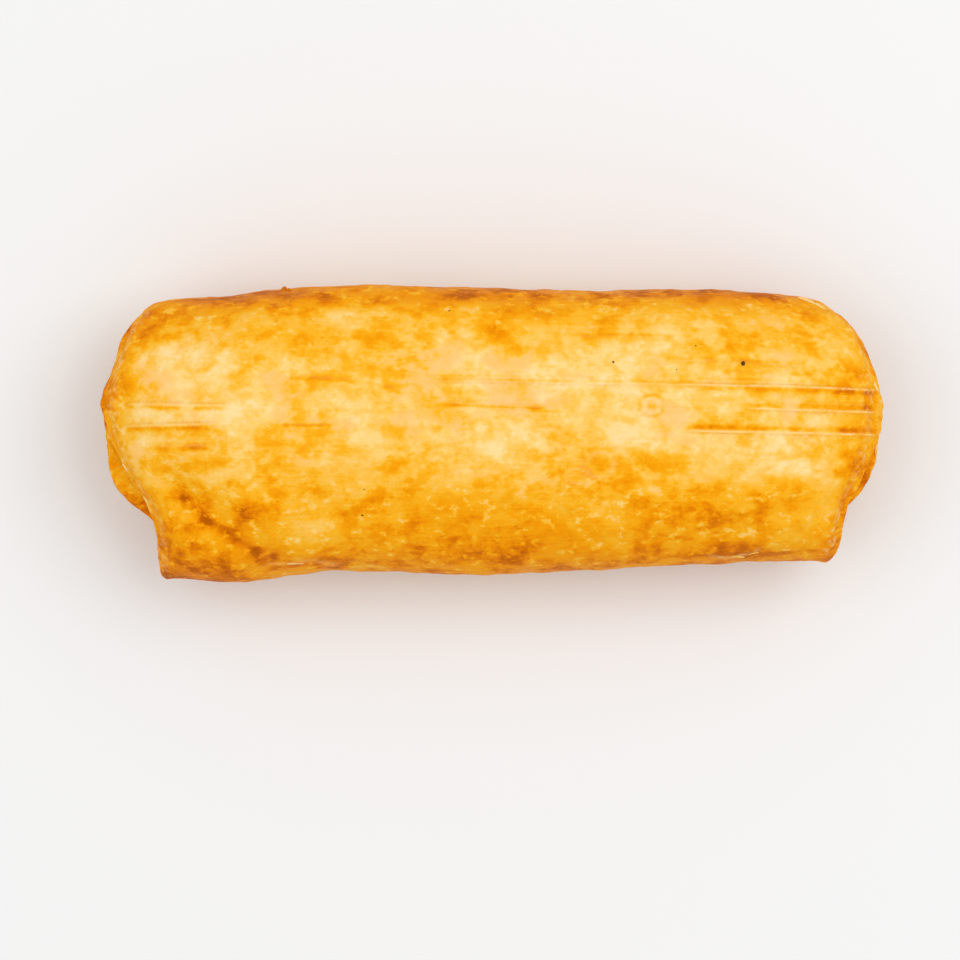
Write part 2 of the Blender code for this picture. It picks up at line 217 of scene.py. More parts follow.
@dataclass(frozen=True)
class FriedTortillaFinish:
    """Fried flour tortilla: cream to brown by its doneness, mottled, faintly grained and a little oily.

    The stops give the colour by doneness. A swing is how strongly a pattern moves the doneness up and down.
    """

    name: str = "fried_tortilla"
    stops: tuple[tuple[float, Colour], ...] = (
        (0.00, (0.89, 0.655, 0.30)),
        (0.16, (0.885, 0.585, 0.18)),
        (0.32, (0.88, 0.50, 0.078)),
        (0.46, (0.875, 0.42, 0.016)),
        (0.60, (0.85, 0.335, 0.003)),
        (0.74, (0.80, 0.26, 0.001)),
        (0.88, (0.67, 0.18, 0.001)),
        (1.02, (0.50, 0.115, 0.001)),
        (1.25, (0.40, 0.085, 0.001)),
    )
    darkest: float = 1.25
    pink: Colour = (0.90, 0.48, 0.15)
    cream: Colour = (0.89, 0.62, 0.25)
    # Painted shade: the colour laid into hollows, the slit between the folded ends and the gaps beside crests
    # and rims
    groove_shade: Colour = (0.56, 0.17, 0.002)
    pore: Colour = (0.42, 0.17, 0.02)
    drawn_out: tuple[float, float, float] = (0.78, 1.0, 1.0)
    blotch_scale: float = 60.0
    pink_scale: float = 102.0
    mottle_scale: float = 190.0
    crumb_scale: float = 400.0
    fleck_scale: float = 620.0
    pore_scale: float = 1500.0
    grain_scale: tuple[float, float, float] = (45.0, 1400.0, 1400.0)
    blotch_swing: float = 0.15
    mottle_swing: float = 0.15
    fleck_swing: float = 0.45
    grain_swing: float = 0.16
    paler_share: float = 0.42
    fold_spread: float = 0.5
    fold_paler: float = 0.05
    blister_paler: float = 0.12
    crumb_paler: float = 0.27
    # How strongly the orange lines show, by the mottle: partly browning, partly painted shade beside the
    # crests
    orange_and_shade_line: tuple[float, float] = (0.28, 0.48)
    pink_share: float = 0.6
    pore_share: float = 0.35
    roughness: tuple[float, float] = (0.42, 0.62)
    fleck_bump: float = 0.8
    mottle_bump: float = 0.6
    grain_bump: float = 0.25
    pore_bump: float = 0.25
    bump_height: float = 0.7 * MM
    bump_strength: float = 0.75
    specular: float = 0.05
    gloss: Colour = (1.0, 0.62, 0.18)
    subsurface: float = 0.05
    subsurface_radius: Colour = (0.0024, 0.0011, 0.0004)

    def material(self) -> bpy.types.Material:
        """Makes the material.

        Returns:
            The finish as a node-based material.
        """
        net = Network(self.name)
        place = net.node("ShaderNodeTexCoord").outputs["Object"]
        drawn = net.stretched(place, self.drawn_out)
        mottle = net.noise(drawn, self.mottle_scale, detail=5.0, roughness=0.6)
        fleck = net.noise(drawn, self.fleck_scale, detail=4.0, roughness=0.65)
        grain = net.noise(net.stretched(place, self.grain_scale), 1.0, detail=3.0)
        pore = net.noise(place, self.pore_scale, detail=2.0)
        total = self.total_doneness(net, drawn, mottle, fleck, grain)

        height = net.plus(net.math("MULTIPLY", fleck, self.fleck_bump), mottle, self.mottle_bump)
        height = net.math("MULTIPLY", height, net.range(net.field(Field.DONENESS), 0.3, 0.6, 0.5, 1.0))
        height = net.plus(height, grain, self.grain_bump)
        height = net.plus(height, pore, self.pore_bump)
        shader = net.shader
        net.link(self.colour(net, total, drawn, fleck, pore), shader.inputs["Base Color"])
        net.link(net.range(mottle, 0.3, 0.7, *self.roughness), shader.inputs["Roughness"])
        net.link(net.bump(height, self.bump_height, self.bump_strength), shader.inputs["Normal"])
        shader.inputs["Subsurface Weight"].default_value = self.subsurface
        shader.inputs["Subsurface Radius"].default_value = self.subsurface_radius
        shader.inputs["Subsurface Scale"].default_value = 1.0
        shader.inputs["Specular IOR Level"].default_value = self.specular
        shader.inputs["Specular Tint"].default_value = (*self.gloss, 1.0)
        return net.material

    def total_doneness(
        self, net: "Network", drawn: Socket, mottle: Socket, fleck: Socket, grain: Socket
    ) -> Socket:
        """Moves the skin's doneness by its patterns, blisters, folds and orange lines; these lines are partly
        browning and partly painted shade beside the crests.

        Args:
            net: The material's network.
            drawn: The coordinates of the patterns that are drawn out along the roll.
            mottle: The middling pattern.
            fleck: The fine pattern.
            grain: The fine streaks along the roll.

        Returns:
            The doneness that the colour follows.
        """
        doneness, fold = net.field(Field.DONENESS), net.field(Field.FOLD)
        blotch = net.noise(drawn, self.blotch_scale, detail=3.0, distortion=0.4)
        crumb = net.noise(drawn, self.crumb_scale, detail=4.0, roughness=0.6, seed=3.1)

        spread = net.plus(net.range(doneness, 0.2, 0.6, 0.85, 1.0), fold, self.fold_spread)
        uneven = net.range(blotch, 0.37, 0.63, -self.blotch_swing, self.blotch_swing)
        uneven = net.math("ADD", uneven, net.swing(fleck, self.fleck_swing))
        mottled = net.range(mottle, 0.38, 0.62, -self.mottle_swing, self.mottle_swing)
        uneven = net.math("ADD", uneven, mottled)
        paler = net.math("MULTIPLY", uneven, net.range(doneness, 0.3, 0.48, 1.0, self.paler_share))
        uneven = net.math("MAXIMUM", uneven, paler)
        total = net.plus(doneness, uneven, spread)
        total = net.math("ADD", total, net.swing(grain, self.grain_swing))

        showing = net.range(doneness, 0.35, 0.6, 0.35, 1.0)
        crumbs = net.math("MULTIPLY", net.range(crumb, 0.53, 0.66, 0.0, self.crumb_paler), showing)
        total = net.math("SUBTRACT", total, crumbs)
        total = net.plus(total, net.field(Field.BLISTER), -self.blister_paler)
        total = net.plus(total, fold, -self.fold_paler)
        # Orange lines: partly browning, partly painted shade beside the crests
        strength = net.range(mottle, 0.35, 0.6, *self.orange_and_shade_line)
        return net.plus(total, net.field(Field.ORANGE_LINE), strength)

    def colour(self, net: "Network", total: Socket, drawn: Socket, fleck: Socket, pore: Socket) -> Socket:
        """Colours the skin by its doneness, with pink areas, pores, painted groove shade and pale crests over
        it.

        Args:
            net: The material's network.
            total: The doneness that the colour follows.
            drawn: The coordinates of the patterns that are drawn out along the roll.
            fleck: The fine pattern.
            pore: The finest pattern.

        Returns:
            The colour.
        """
        stops = tuple((place / self.darkest, colour) for place, colour in self.stops)
        colour = net.ramp(net.math("DIVIDE", total, self.darkest), stops)

        warm = net.noise(drawn, self.pink_scale, detail=3.0, seed=7.3)
        pink = net.range(warm, 0.5, 0.62, 0.0, self.pink_share)
        pink = net.math("MULTIPLY", pink, net.range(total, 0.25, 0.45, 1.0, 0.0))
        pink = net.math("MULTIPLY", pink, net.range(net.field(Field.FOLD), 0.0, 0.6, 1.0, 0.0))
        colour = net.mix(pink, colour, self.pink)
        colour = net.mix(net.range(pore, 0.66, 0.74, 0.0, self.pore_share), colour, self.pore)
        # Painted shade in hollows, the slit and the gaps, broken up a little by the fine pattern
        groove_shade = net.math("MULTIPLY", net.field(Field.GROOVE), net.range(fleck, 0.35, 0.6, 0.5, 1.0))
        colour = net.mix(groove_shade, colour, self.groove_shade)
        pale = net.math("MULTIPLY", net.field(Field.PALE_LINE), net.range(fleck, 0.4, 0.55, 0.25, 1.0))
        return net.mix(pale, colour, self.cream)


@dataclass(frozen=True)
class SpeckFinish:
    """Charred flour and pepper: nearly black brown, dull and uneven."""

    name: str = "charred_speck"
    dark: Colour = (0.032, 0.018, 0.004)
    light: Colour = (0.13, 0.075, 0.02)
    scale: float = 2400.0
    roughness: float = 0.75
    specular: float = 0.1

    def material(self) -> bpy.types.Material:
        """Makes the material.

        Returns:
            The finish as a node-based material.
        """
        net = Network(self.name)
        place = net.node("ShaderNodeTexCoord").outputs["Object"]
        pattern = net.noise(place, self.scale, detail=2.0)
        net.link(net.ramp(pattern, ((0.35, self.dark), (0.7, self.light))), net.shader.inputs["Base Color"])
        net.link(net.bump(pattern, 0.0002, 0.6), net.shader.inputs["Normal"])
        net.shader.inputs["Roughness"].default_value = self.roughness
        net.shader.inputs["Specular IOR Level"].default_value = self.specular
        return net.material


@dataclass(frozen=True)
class FloorFinish:
    """Matt pale paper."""

    name: str = "pale_paper"
    colour: Colour = (0.80, 0.80, 0.80)
    roughness: float = 0.9

    def material(self) -> bpy.types.Material:
        """Makes the material.

        Returns:
            The finish as a material.
        """
        net = Network(self.name)
        net.shader.inputs["Base Color"].default_value = (*self.colour, 1.0)
        net.shader.inputs["Roughness"].default_value = self.roughness
        return net.material


class Network:
    """A material's node tree, with short calls for the nodes that the finishes share."""

    def __init__(self, name: str) -> None:
        """Makes a new material with an empty Principled shader."""
        self.material = bpy.data.materials.new(name)
        self.material.use_nodes = True
        self.tree = self.material.node_tree
        self.shader = self.tree.nodes["Principled BSDF"]

    def node(self, kind: str) -> bpy.types.Node:
        """Adds a node of this kind."""
        return self.tree.nodes.new(kind)

    def link(self, source: Socket, target: Socket) -> None:
        """Joins two sockets."""
        self.tree.links.new(source, target)

    def feed(self, value: "Socket | float | Colour", target: Socket) -> None:
        """Gives a socket a link or a plain value.

        Args:
            value: A socket to link, a number or a colour.
            target: The socket that takes it.
        """
        if isinstance(value, Socket):
            self.link(value, target)
        elif isinstance(value, tuple):
            target.default_value = (*value, 1.0)
        else:
            target.default_value = value

    def math(self, operation: str, first: "Socket | float", second: "Socket | float") -> Socket:
        """Adds a Math node.

        Args:
            operation: The node's operation.
            first: Its first value.
            second: Its second value.

        Returns:
            The node's result.
        """
        node = self.node("ShaderNodeMath")
        node.operation = operation
        self.feed(first, node.inputs[0])
        self.feed(second, node.inputs[1])
        return node.outputs[0]

    def plus(self, value: Socket, pattern: Socket, share: "Socket | float") -> Socket:
        """A value with this share of a pattern added to it."""
        return self.math("ADD", value, self.math("MULTIPLY", pattern, share))

    def swing(self, pattern: Socket, amount: float) -> Socket:
        """A pattern moved to swing about 0 by this amount."""
        return self.math("MULTIPLY", self.math("SUBTRACT", pattern, 0.5), amount)

    def range(self, value: Socket, low: float, high: float, low_to: float, high_to: float) -> Socket:
        """Adds a smooth Map Range node.

        Args:
            value: The value to map.
            low: Where the range starts.
            high: Where it ends.
            low_to: The result at its start.
            high_to: The result at its end.

        Returns:
            The mapped value.
        """
        node = self.node("ShaderNodeMapRange")
        node.interpolation_type = "SMOOTHSTEP"
        self.link(value, node.inputs["Value"])
        node.inputs["From Min"].default_value = low
        node.inputs["From Max"].default_value = high
        node.inputs["To Min"].default_value = low_to
        node.inputs["To Max"].default_value = high_to
        return node.outputs["Result"]

    def stretched(self, place: Socket, scale: tuple[float, float, float]) -> Socket:
        """Object coordinates scaled apart along their axes, for a pattern with a grain."""
        node = self.node("ShaderNodeMapping")
        self.link(place, node.inputs["Vector"])
        node.inputs["Scale"].default_value = scale
        return node.outputs["Vector"]

    def noise(
        self,
        place: Socket,
        scale: float,
        detail: float = 2.0,
        roughness: float = 0.5,
        distortion: float = 0.0,
        seed: float = 0.0,
    ) -> Socket:
        """Adds a Noise texture.

        Args:
            place: The coordinates that it reads.
            scale: Its scale.
            detail: How many finer layers it has.
            roughness: How strong they are.
            distortion: How far it is warped.
            seed: A fourth coordinate, for a pattern of its own.

        Returns:
            The pattern, about 0.5.
        """
        node = self.node("ShaderNodeTexNoise")
        node.noise_dimensions = "4D"
        self.link(place, node.inputs["Vector"])
        node.inputs["W"].default_value = seed
        node.inputs["Scale"].default_value = scale
        node.inputs["Detail"].default_value = detail
        node.inputs["Roughness"].default_value = roughness
        node.inputs["Distortion"].default_value = distortion
        return node.outputs["Fac"]

    def field(self, name: Field) -> Socket:
        """A value that the mesh carries at its vertices."""
        node = self.node("ShaderNodeAttribute")
        node.attribute_name = name.value
        return node.outputs["Fac"]

    def ramp(self, value: Socket, stops: tuple[tuple[float, Colour], ...]) -> Socket:
        """Adds a Color Ramp.

        Args:
            value: The value that it reads.
            stops: Its places and colours, in order.

        Returns:
            The colour.
        """
        node = self.node("ShaderNodeValToRGB")
        marks = node.color_ramp.elements
        while len(marks) > 1:
            marks.remove(marks[-1])
        marks[0].position, marks[0].color = stops[0][0], (*stops[0][1], 1.0)
        for place, colour in stops[1:]:
            marks.new(place).color = (*colour, 1.0)
        self.link(value, node.inputs["Fac"])
        return node.outputs["Color"]

    def mix(self, share: Socket, below: Socket, above: Colour) -> Socket:
        """Mixes a colour over another.

        Args:
            share: How much of the upper colour shows.
            below: The lower colour.
            above: The upper colour.

        Returns:
            The mixed colour.
        """
        node = self.node("ShaderNodeMix")
        node.data_type = "RGBA"
        self.link(share, node.inputs["Factor"])
        colours = [socket for socket in node.inputs if socket.type == "RGBA"]
        self.link(below, colours[0])
        colours[1].default_value = (*above, 1.0)
        return next(socket for socket in node.outputs if socket.type == "RGBA")

    def bump(self, height: Socket, distance: float, strength: float) -> Socket:
        """Turns a pattern into fine relief.

        Args:
            height: The pattern.
            distance: How high 1 stands, in metres.
            strength: How much of it shows.

        Returns:
            The changed normal.
        """
        node = self.node("ShaderNodeBump")
        node.inputs["Distance"].default_value = distance
        node.inputs["Strength"].default_value = strength
        self.link(height, node.inputs["Height"])
        return node.outputs["Normal"]


def ease(share: np.ndarray) -> np.ndarray:
    """0 up to 0 and 1 from 1, with a smooth step between."""
    share = np.clip(share, 0.0, 1.0)
    return share * share * (3.0 - 2.0 * share)


def bell(away: "float | np.ndarray", width: float) -> "float | np.ndarray":
    """1 at 0, falling to about a third at this width on either side."""
    return np.exp(-((away / width) ** 2))


def vectors(items: "bpy.types.bpy_prop_collection", name: str) -> np.ndarray:
    """One row for each item of a mesh: its vector of this name."""
    values = np.empty(len(items) * 3)
    items.foreach_get(name, values)
    return values.reshape(-1, 3)


def store(mesh: bpy.types.Mesh, field: Field, values: np.ndarray) -> None:
    """Writes one value for each vertex into the mesh."""
    layer = mesh.attributes.new(field.value, "FLOAT", "POINT")
    layer.data.foreach_set("value", values.astype(np.float32))


def select_only(obj: bpy.types.Object) -> None:
    """Selects this object alone and makes it active."""
    bpy.ops.object.select_all(action="DESELECT")
    obj.select_set(True)
    bpy.context.view_layer.objects.active = obj


def joined(parts: list[bpy.types.Object], name: str, material: bpy.types.Material) -> bpy.types.Object:
    """Joins parts into one dressed piece.

    Args:
        parts: The parts, each with its place in its mesh.
        name: The piece's name.
        material: Its material.

    Returns:
        The piece.
    """
    select_only(parts[0])
    for part in parts:
        part.select_set(True)
    bpy.ops.object.join()
    piece = bpy.context.view_layer.objects.active
    piece.name = piece.data.name = name
    piece.data.materials.clear()
    piece.data.materials.append(material)
    return piece


def on_skin(tree: bvhtree.BVHTree, x: float, y: float, lift: float = 0.0) -> Matrix:
    """Finds the skin under a place in plan, or nearest to it where none lies under it.

    Args:
        tree: The skin.
        x: The place along the roll, in millimetres.
        y: The place across the roll, in millimetres.
        lift: How far above the skin a part is held, in metres.

    Returns:
        The move that stands a part there, upright on the skin.
    """
    above, waist = 200 * MM, 30 * MM
    hit, normal, _, _ = tree.ray_cast(Vector((x * MM, y * MM, above)), Vector((0, 0, -1)))
    if hit is None:
        hit, normal, _, _ = tree.find_nearest(Vector((x * MM, y * MM, waist)))
    upright = Vector((0, 0, 1)).rotation_difference(normal).to_matrix().to_4x4()
    return Matrix.Translation(hit + normal * lift) @ upright


@dataclass
class RolledTortilla:
    """The tortilla's skin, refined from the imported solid.

    Of the fields without MM, merge_distance is in metres, across_y and the rim's width, line and gap are in
    millimetres, and the others have no unit.
    """

    piece_name: str = "rolled_tortilla_skin"
    merge_distance: float = 1e-6
    long_edge: float = 6.6 * MM
    cut_height: float = 15 * MM
    levels: int = 2
    fold_centre_y: float = 4 * MM
    fold_centre_z: float = 24 * MM
    fold_front: float = 41 * MM
    fold_back: float = 38.3 * MM
    fold_rise: float = 19.5 * MM
    fold_start: float = 92 * MM
    fold_power: float = 2.25
    fold_calm: float = 0.5
    smoothing_steps: int = 14
    across_y: tuple[float, ...] = (-46, -40, -31, -22.5, -13.5, -5, 4, 22, 31, 36, 40, 45)
    # Browner towards the front and back edges: partly fried browning, partly painted shade where the roll
    # curves down
    across_done_and_edge_shade: tuple[float, ...] = (0.84, 0.68, 0.56, 0.5, 0.39, 0.31, 0.27, 0.29, 0.38, 0.5, 0.66, 0.78)
    side_doneness: float = 0.56
    resting_doneness: float = 0.1
    ring_doneness: float = 0.3
    blister_count: int = 950
    blister_radius: tuple[float, float] = (1.1 * MM, 3.2 * MM)
    blister_height: float = 0.22 * MM
    pleat_height: float = 0.55 * MM
    pleat_scales: tuple[float, float] = (4.5, 11.0)
    rim_width: float = 3.5
    rim_sectors: int = 72
    rim_line: float = 0.26
    rim_gap: float = 0.24
    rim_height: float = 0.16 * MM
    rim_grain: float = 1.5 * MM
    lump_size: float = 8 * MM
    lump_height: float = 0.38 * MM
    ripple_size: float = 3.2 * MM
    ripple_height: float = 0.16 * MM
    full_relief_from: float = 6 * MM
    seed: int = 11

    def build(self) -> bpy.types.Object:
        """Builds and dresses the skin.

        Returns:
            The finished piece.
        """
        piece = self.copied_node()
        self.refine(piece)
        mesh = piece.data
        places = vectors(mesh.vertices, "co")
        normals = vectors(mesh.vertex_normals, "vector")

        fold = self.fold_share(places)
        convex = self.convexity(mesh, places, normals)
        zone = self.doneness(places, normals)
        lines, pale, orange, shadow = self.line_fields(places, normals)
        rings, ring_pale, ring_brown = self.ring_fields(places, normals)
        zone = zone + self.ring_doneness * ring_brown
        blisters = self.blisters(mesh, places, zone)
        height = lines + rings + self.lumps(places, zone)
        calm = 1.0 - self.fold_calm * fold
        height = height * calm + blisters * self.blister_height * calm
        rim_height, rim_pale, rim_gap = self.rim_lines(places)
        height = height + fold * self.pleats(places) + rim_height
        clear = ease(places[:, 2] / self.full_relief_from)
        moved = places + normals * (height * clear)[:, None]
        moved[:, 2] = np.maximum(moved[:, 2], 0.0)
        mesh.vertices.foreach_set("co", moved.ravel())

        near_end = ease((np.abs(places[:, 0]) - self.fold_start) / (6 * MM))
        # Painted shade: darker in the slit between the folded ends and in hollows, most near the ends
        slit = near_end * ease((0.24 - self.from_fold_centre(places)) / 0.2)
        groove_shade = ease(-convex / 0.55 - 0.1) * (0.15 + 0.85 * near_end)
        crest = ease(convex / 0.5 - 0.35) * near_end
        pale = np.maximum(np.maximum(pale, ring_pale), np.maximum(0.6 * crest, rim_pale))
        # The gaps beside the lines and between the rim's lines get painted shadow
        shadow = np.maximum(shadow, rim_gap)
        store(mesh, Field.DONENESS, zone)
        store(mesh, Field.BLISTER, blisters)
        store(mesh, Field.PALE_LINE, np.clip(pale, 0.0, 1.0))
        store(mesh, Field.ORANGE_LINE, np.clip(orange, 0.0, 1.0))
        store(mesh, Field.GROOVE, np.clip(np.maximum(shadow, 0.55 * groove_shade) + 0.4 * slit, 0.0, 1.0))
        store(mesh, Field.FOLD, fold)
        mesh.materials.clear()
        mesh.materials.append(FriedTortillaFinish().material())
        mesh.shade_smooth()
        mesh.update()
        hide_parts(CAD_NODE)
        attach(piece, CAD_BODY)
        return piece

    def copied_node(self) -> bpy.types.Object:
        """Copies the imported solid's mesh to a new piece, merged and with its triangles paired into quads.

        Returns:
            The new piece.
        """
        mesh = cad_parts[CAD_NODE].data.copy()
        mesh.name = self.piece_name
        piece = bpy.data.objects.new(self.piece_name, mesh)
        bpy.context.scene.collection.objects.link(piece)
        select_only(piece)
        bpy.ops.object.mode_set(mode="EDIT")
        bpy.ops.mesh.select_all(action="SELECT")
        bpy.ops.mesh.remove_doubles(threshold=self.merge_distance)
        bpy.ops.mesh.customdata_custom_splitnormals_clear()
        bpy.ops.mesh.tris_convert_to_quads(face_threshold=math.pi, shape_threshold=math.pi)
        bpy.ops.object.mode_set(mode="OBJECT")
        return piece

    def refine(self, piece: bpy.types.Object) -> None:
        """Cuts the long faces of the upper side across and subdivides the whole skin smoothly.

        Args:
            piece: The skin.
        """
        select_only(piece)
        bpy.ops.object.mode_set(mode="EDIT")
        bpy.ops.mesh.select_mode(type="EDGE")
        bpy.ops.mesh.select_all(action="DESELECT")
        work = bmesh.from_edit_mesh(piece.data)
        for edge in work.edges:
            run = edge.verts[1].co - edge.verts[0].co
            high = min(vert.co.z for vert in edge.verts) > self.cut_height
            along = abs(run.x) > 0.9 * run.length
            edge.select_set(high and along and run.length > self.long_edge)
        bmesh.update_edit_mesh(piece.data)
        bpy.ops.mesh.subdivide(number_cuts=1, ngon=True, quadcorner="INNERVERT")
        bpy.ops.object.mode_set(mode="OBJECT")
        finer = piece.modifiers.new("finer", "SUBSURF")
        finer.levels = finer.render_levels = self.levels
        bpy.ops.object.modifier_apply(modifier=finer.name)

    def from_fold_centre(self, places: np.ndarray) -> np.ndarray:
        """How far across a folded end each vertex lies.

        Args:
            places: The vertices' places.

        Returns:
            0 at the slit in the middle and 1 on the outermost fold line.
        """
        offset = places[:, 1] - self.fold_centre_y
        reach = np.where(offset < 0.0, self.fold_front + self.fold_centre_y, self.fold_back)
        rise = np.abs(places[:, 2] - self.fold_centre_z) / self.fold_rise
        power = self.fold_power
        return (np.abs(offset / reach) ** power + rise**power) ** (1.0 / power)

    def fold_share(self, places: np.ndarray) -> np.ndarray:
        """How far each vertex lies inside the folded ends.

        Args:
            places: The vertices' places.

        Returns:
            0 on the roll's side and 1 inside the outermost fold.
        """
        near_end = ease((np.abs(places[:, 0]) - self.fold_start) / (4 * MM))
        return near_end * ease((0.93 - self.from_fold_centre(places)) / 0.06)

    def around_fold(self, places: np.ndarray) -> np.ndarray:
        """Each vertex's angle round the middle of the folded ends, as on a circle."""
        rise = (places[:, 2] - self.fold_centre_z) * self.fold_back / self.fold_rise
        return np.arctan2(rise, places[:, 1] - self.fold_centre_y)

    def rim_lines(self, places: np.ndarray) -> tuple[np.ndarray, np.ndarray, np.ndarray]:
        """Thin, broken lines of flaked crust beside the outermost fold line of each end.

        Args:
            places: The vertices' places.

        Returns:
            The height, how pale each vertex is, and how shadowed.
        """
        height, pale, gap = (np.zeros(len(places)) for _ in range(3))
        across, around = self.from_fold_centre(places), self.around_fold(places)
        sectors = self.rim_sectors
        middles = (np.arange(sectors) + 0.5) / sectors * math.tau - math.pi
        for side in (-1.0, 1.0):
            out = places[:, 0] * side
            here = np.flatnonzero((out > self.fold_start) & (across > 0.96))
            sector = ((around[here] + math.pi) / math.tau * sectors).astype(int) % sectors
            reach = np.zeros(sectors)
            np.maximum.at(reach, sector, out[here])
            known = reach > 0.0
            rim = np.interp(around[here], middles[known], reach[known], period=math.tau)
            for number, inward in zip(here, (rim - out[here]) / MM):
                if inward > self.rim_width:
                    continue
                spot = Vector((math.cos(around[number]), math.sin(around[number]), side))
                rough = noise.noise(Vector(places[number]) / self.rim_grain)
                inward += 0.7 * noise.noise(spot * 6.0) + 0.35 * noise.noise(spot * 17.0)
                first = bell(inward - 0.3, self.rim_line) * self.broken(spot * 13.0)
                second = 0.7 * bell(inward - 1.5, self.rim_line) * self.broken(spot * 11.0 + spot)
                between = bell(inward - 0.9, self.rim_gap) * self.broken(spot * 8.0)
                height[number] = self.rim_height * (first + second - between + 1.1 * rough)
                pale[number] = max(0.7 * max(first, second), rough - 0.1)
                gap[number] = max(0.6 * between, -0.7 * rough - 0.1)
        return height, pale, gap

    def broken(self, spot: Vector) -> float:
        """1 along most of a broken line and 0 in its gaps."""
        return min(1.0, max(0.0, 0.2 + 2.6 * noise.noise(spot)))

    def pleats(self, places: np.ndarray) -> np.ndarray:
        """Small pleats that run from the rim of a folded end towards its slit.

        Args:
            places: The vertices' places.

        Returns:
            The height at each vertex.
        """
        angle = self.around_fold(places)
        across = self.from_fold_centre(places)
        side = np.sign(places[:, 0]) * 7.0
        heights = np.zeros(len(places))
        for number in np.flatnonzero(np.abs(places[:, 0]) > self.fold_start):
            turned = Vector((math.cos(angle[number]), math.sin(angle[number]), 0.0))
            broad = turned * self.pleat_scales[0] + Vector((side[number], 0.0, 1.6 * across[number]))
            fine = turned * self.pleat_scales[1] + Vector((side[number], 3.0, 3.5 * across[number]))
            heights[number] = self.pleat_height * (noise.noise(broad) + 0.5 * noise.noise(fine))
        return heights

    def convexity(self, mesh: bpy.types.Mesh, places: np.ndarray, normals: np.ndarray) -> np.ndarray:
        """How far each vertex stands out of its smoothed surroundings, in millimetres.

        Args:
            mesh: The skin's mesh.
            places: Its vertices' places.
            normals: Its vertices' normals.

        Returns:
            Above 0 on a crest and below 0 in a groove.
        """
        ends = np.empty(len(mesh.edges) * 2, np.int32)
        mesh.edges.foreach_get("vertices", ends)
        ends = ends.reshape(-1, 2)
        count = len(places)
        linked = np.bincount(ends.ravel(), minlength=count)[:, None]
        smooth = places.copy()
        for _ in range(self.smoothing_steps):
            total = np.zeros_like(smooth)
            for axis in range(3):
                total[:, axis] = np.bincount(ends[:, 0], smooth[ends[:, 1], axis], count)
                total[:, axis] += np.bincount(ends[:, 1], smooth[ends[:, 0], axis], count)
            smooth = 0.5 * smooth + 0.5 * total / linked
        return ((places - smooth) * normals).sum(axis=1) / MM

    def doneness(self, places: np.ndarray, normals: np.ndarray) -> np.ndarray:
        """How brown each vertex is before the finish mottles it: 0 is cream, 1 is dark brown. Towards the
        front and back edges it is partly fried browning and partly painted shade where the roll curves down.

        Args:
            places: The vertices' places.
            normals: The vertices' normals.

        Returns:
            The values.
        """
        x, y, z = (places[:, axis] / MM for axis in range(3))
        # Across the roll: pale on top and browner at the edges, partly from frying and partly painted shade
        zone = np.interp(y, self.across_y, self.across_done_and_edge_shade)
        left_end = 0.44 * ease((-x - 98.0) / 16.0)
        right_end = 0.42 * ease((x - 86.0) / 28.0)
        zone = np.maximum(zone, left_end + right_end + zone * 0.6)
        below = ease((24.0 - z) / 16.0)
        zone = zone * (1.0 - below) + self.side_doneness * below
        zone = zone + self.resting_doneness * ease((3.0 - z) / 3.0)
        upper = ease(normals[:, 2] * 2.0 + 0.4)
        for patch in PATCHES:
            spread = ((x - patch.x) / patch.length) ** 2 + ((y - patch.y) / patch.width) ** 2
            zone = zone + patch.change * np.exp(-spread) * upper
        return zone

    def line_fields(
        self, places: np.ndarray, normals: np.ndarray
    ) -> tuple[np.ndarray, np.ndarray, np.ndarray, np.ndarray]:
        """The relief and the tints of the lines.

        Args:
            places: The vertices' places.
            normals: The vertices' normals.

        Returns:
            The height, and how pale, how orange and how shadowed each vertex is.
        """
        height, pale, orange, shadow = (np.zeros(len(places)) for _ in range(4))
        upper = ease(normals[:, 2] * 3.0)
        x, y = places[:, 0] / MM, places[:, 1] / MM
        for line in LINES:
            path = np.array(line.path)
            run = np.diff(path, axis=0)
            lengths = np.hypot(run[:, 0], run[:, 1])
            before = np.concatenate(([0.0], np.cumsum(lengths)))
            best = np.full(len(places), np.inf)
            across = np.full(len(places), np.inf)
            along = np.zeros(len(places))
            for (x0, y0), (dx, dy), length, start in zip(path, run, lengths, before):
                t = np.clip(((x - x0) * dx + (y - y0) * dy) / length**2, 0.0, 1.0)
                away = np.hypot(x - x0 - t * dx, y - y0 - t * dy)
                side = np.sign((y - y0) * dx - (x - x0) * dy)
                nearer = away < best
                best = np.where(nearer, away, best)
                across = np.where(nearer, away * side, across)
                along = np.where(nearer, start + t * length, along)
            fade = ease(along / 6.0) * ease((before[-1] - along) / 3.0) * upper
            crest = bell(across, line.width)
            band = bell(across - line.offset, line.spread)
            beside = np.sign(line.offset) * 2.2 * line.width
            gap = bell(across + beside, 1.2 * line.width)
            height += fade * line.raised * MM * (crest - 0.5 * band - 0.5 * gap)
            pale = np.maximum(pale, fade * line.pale * crest)
            orange = np.maximum(orange, fade * line.orange * band)
            shadow = np.maximum(shadow, fade * line.shadow * gap)
        return height, pale, orange, shadow

    def ring_fields(
        self, places: np.ndarray, normals: np.ndarray
    ) -> tuple[np.ndarray, np.ndarray, np.ndarray]:
        """The relief and the tints of the burst blisters.

        Args:
            places: The vertices' places.
            normals: The vertices' normals.

        Returns:
            The height, and how pale and how brown each vertex is.
        """
        height, pale, brown = (np.zeros(len(places)) for _ in range(3))
        upper = ease(normals[:, 2] * 3.0)
        x, y = places[:, 0] / MM, places[:, 1] / MM
        for ring in RINGS:
            away = np.hypot(x - ring.x, (y - ring.y) * 1.15)
            rim = ring.strength * bell(away - ring.radius, 0.55) * upper
            middle = ring.strength * bell(away, 0.5 * ring.radius) * upper
            outside = ring.strength * bell(away - 1.4 * ring.radius, 0.7) * upper
            height += 0.18 * MM * (rim - 0.7 * middle)
            pale = np.maximum(pale, 0.9 * rim)
            brown = np.maximum(brown, np.maximum(middle, 0.6 * outside))
        return height, pale, brown

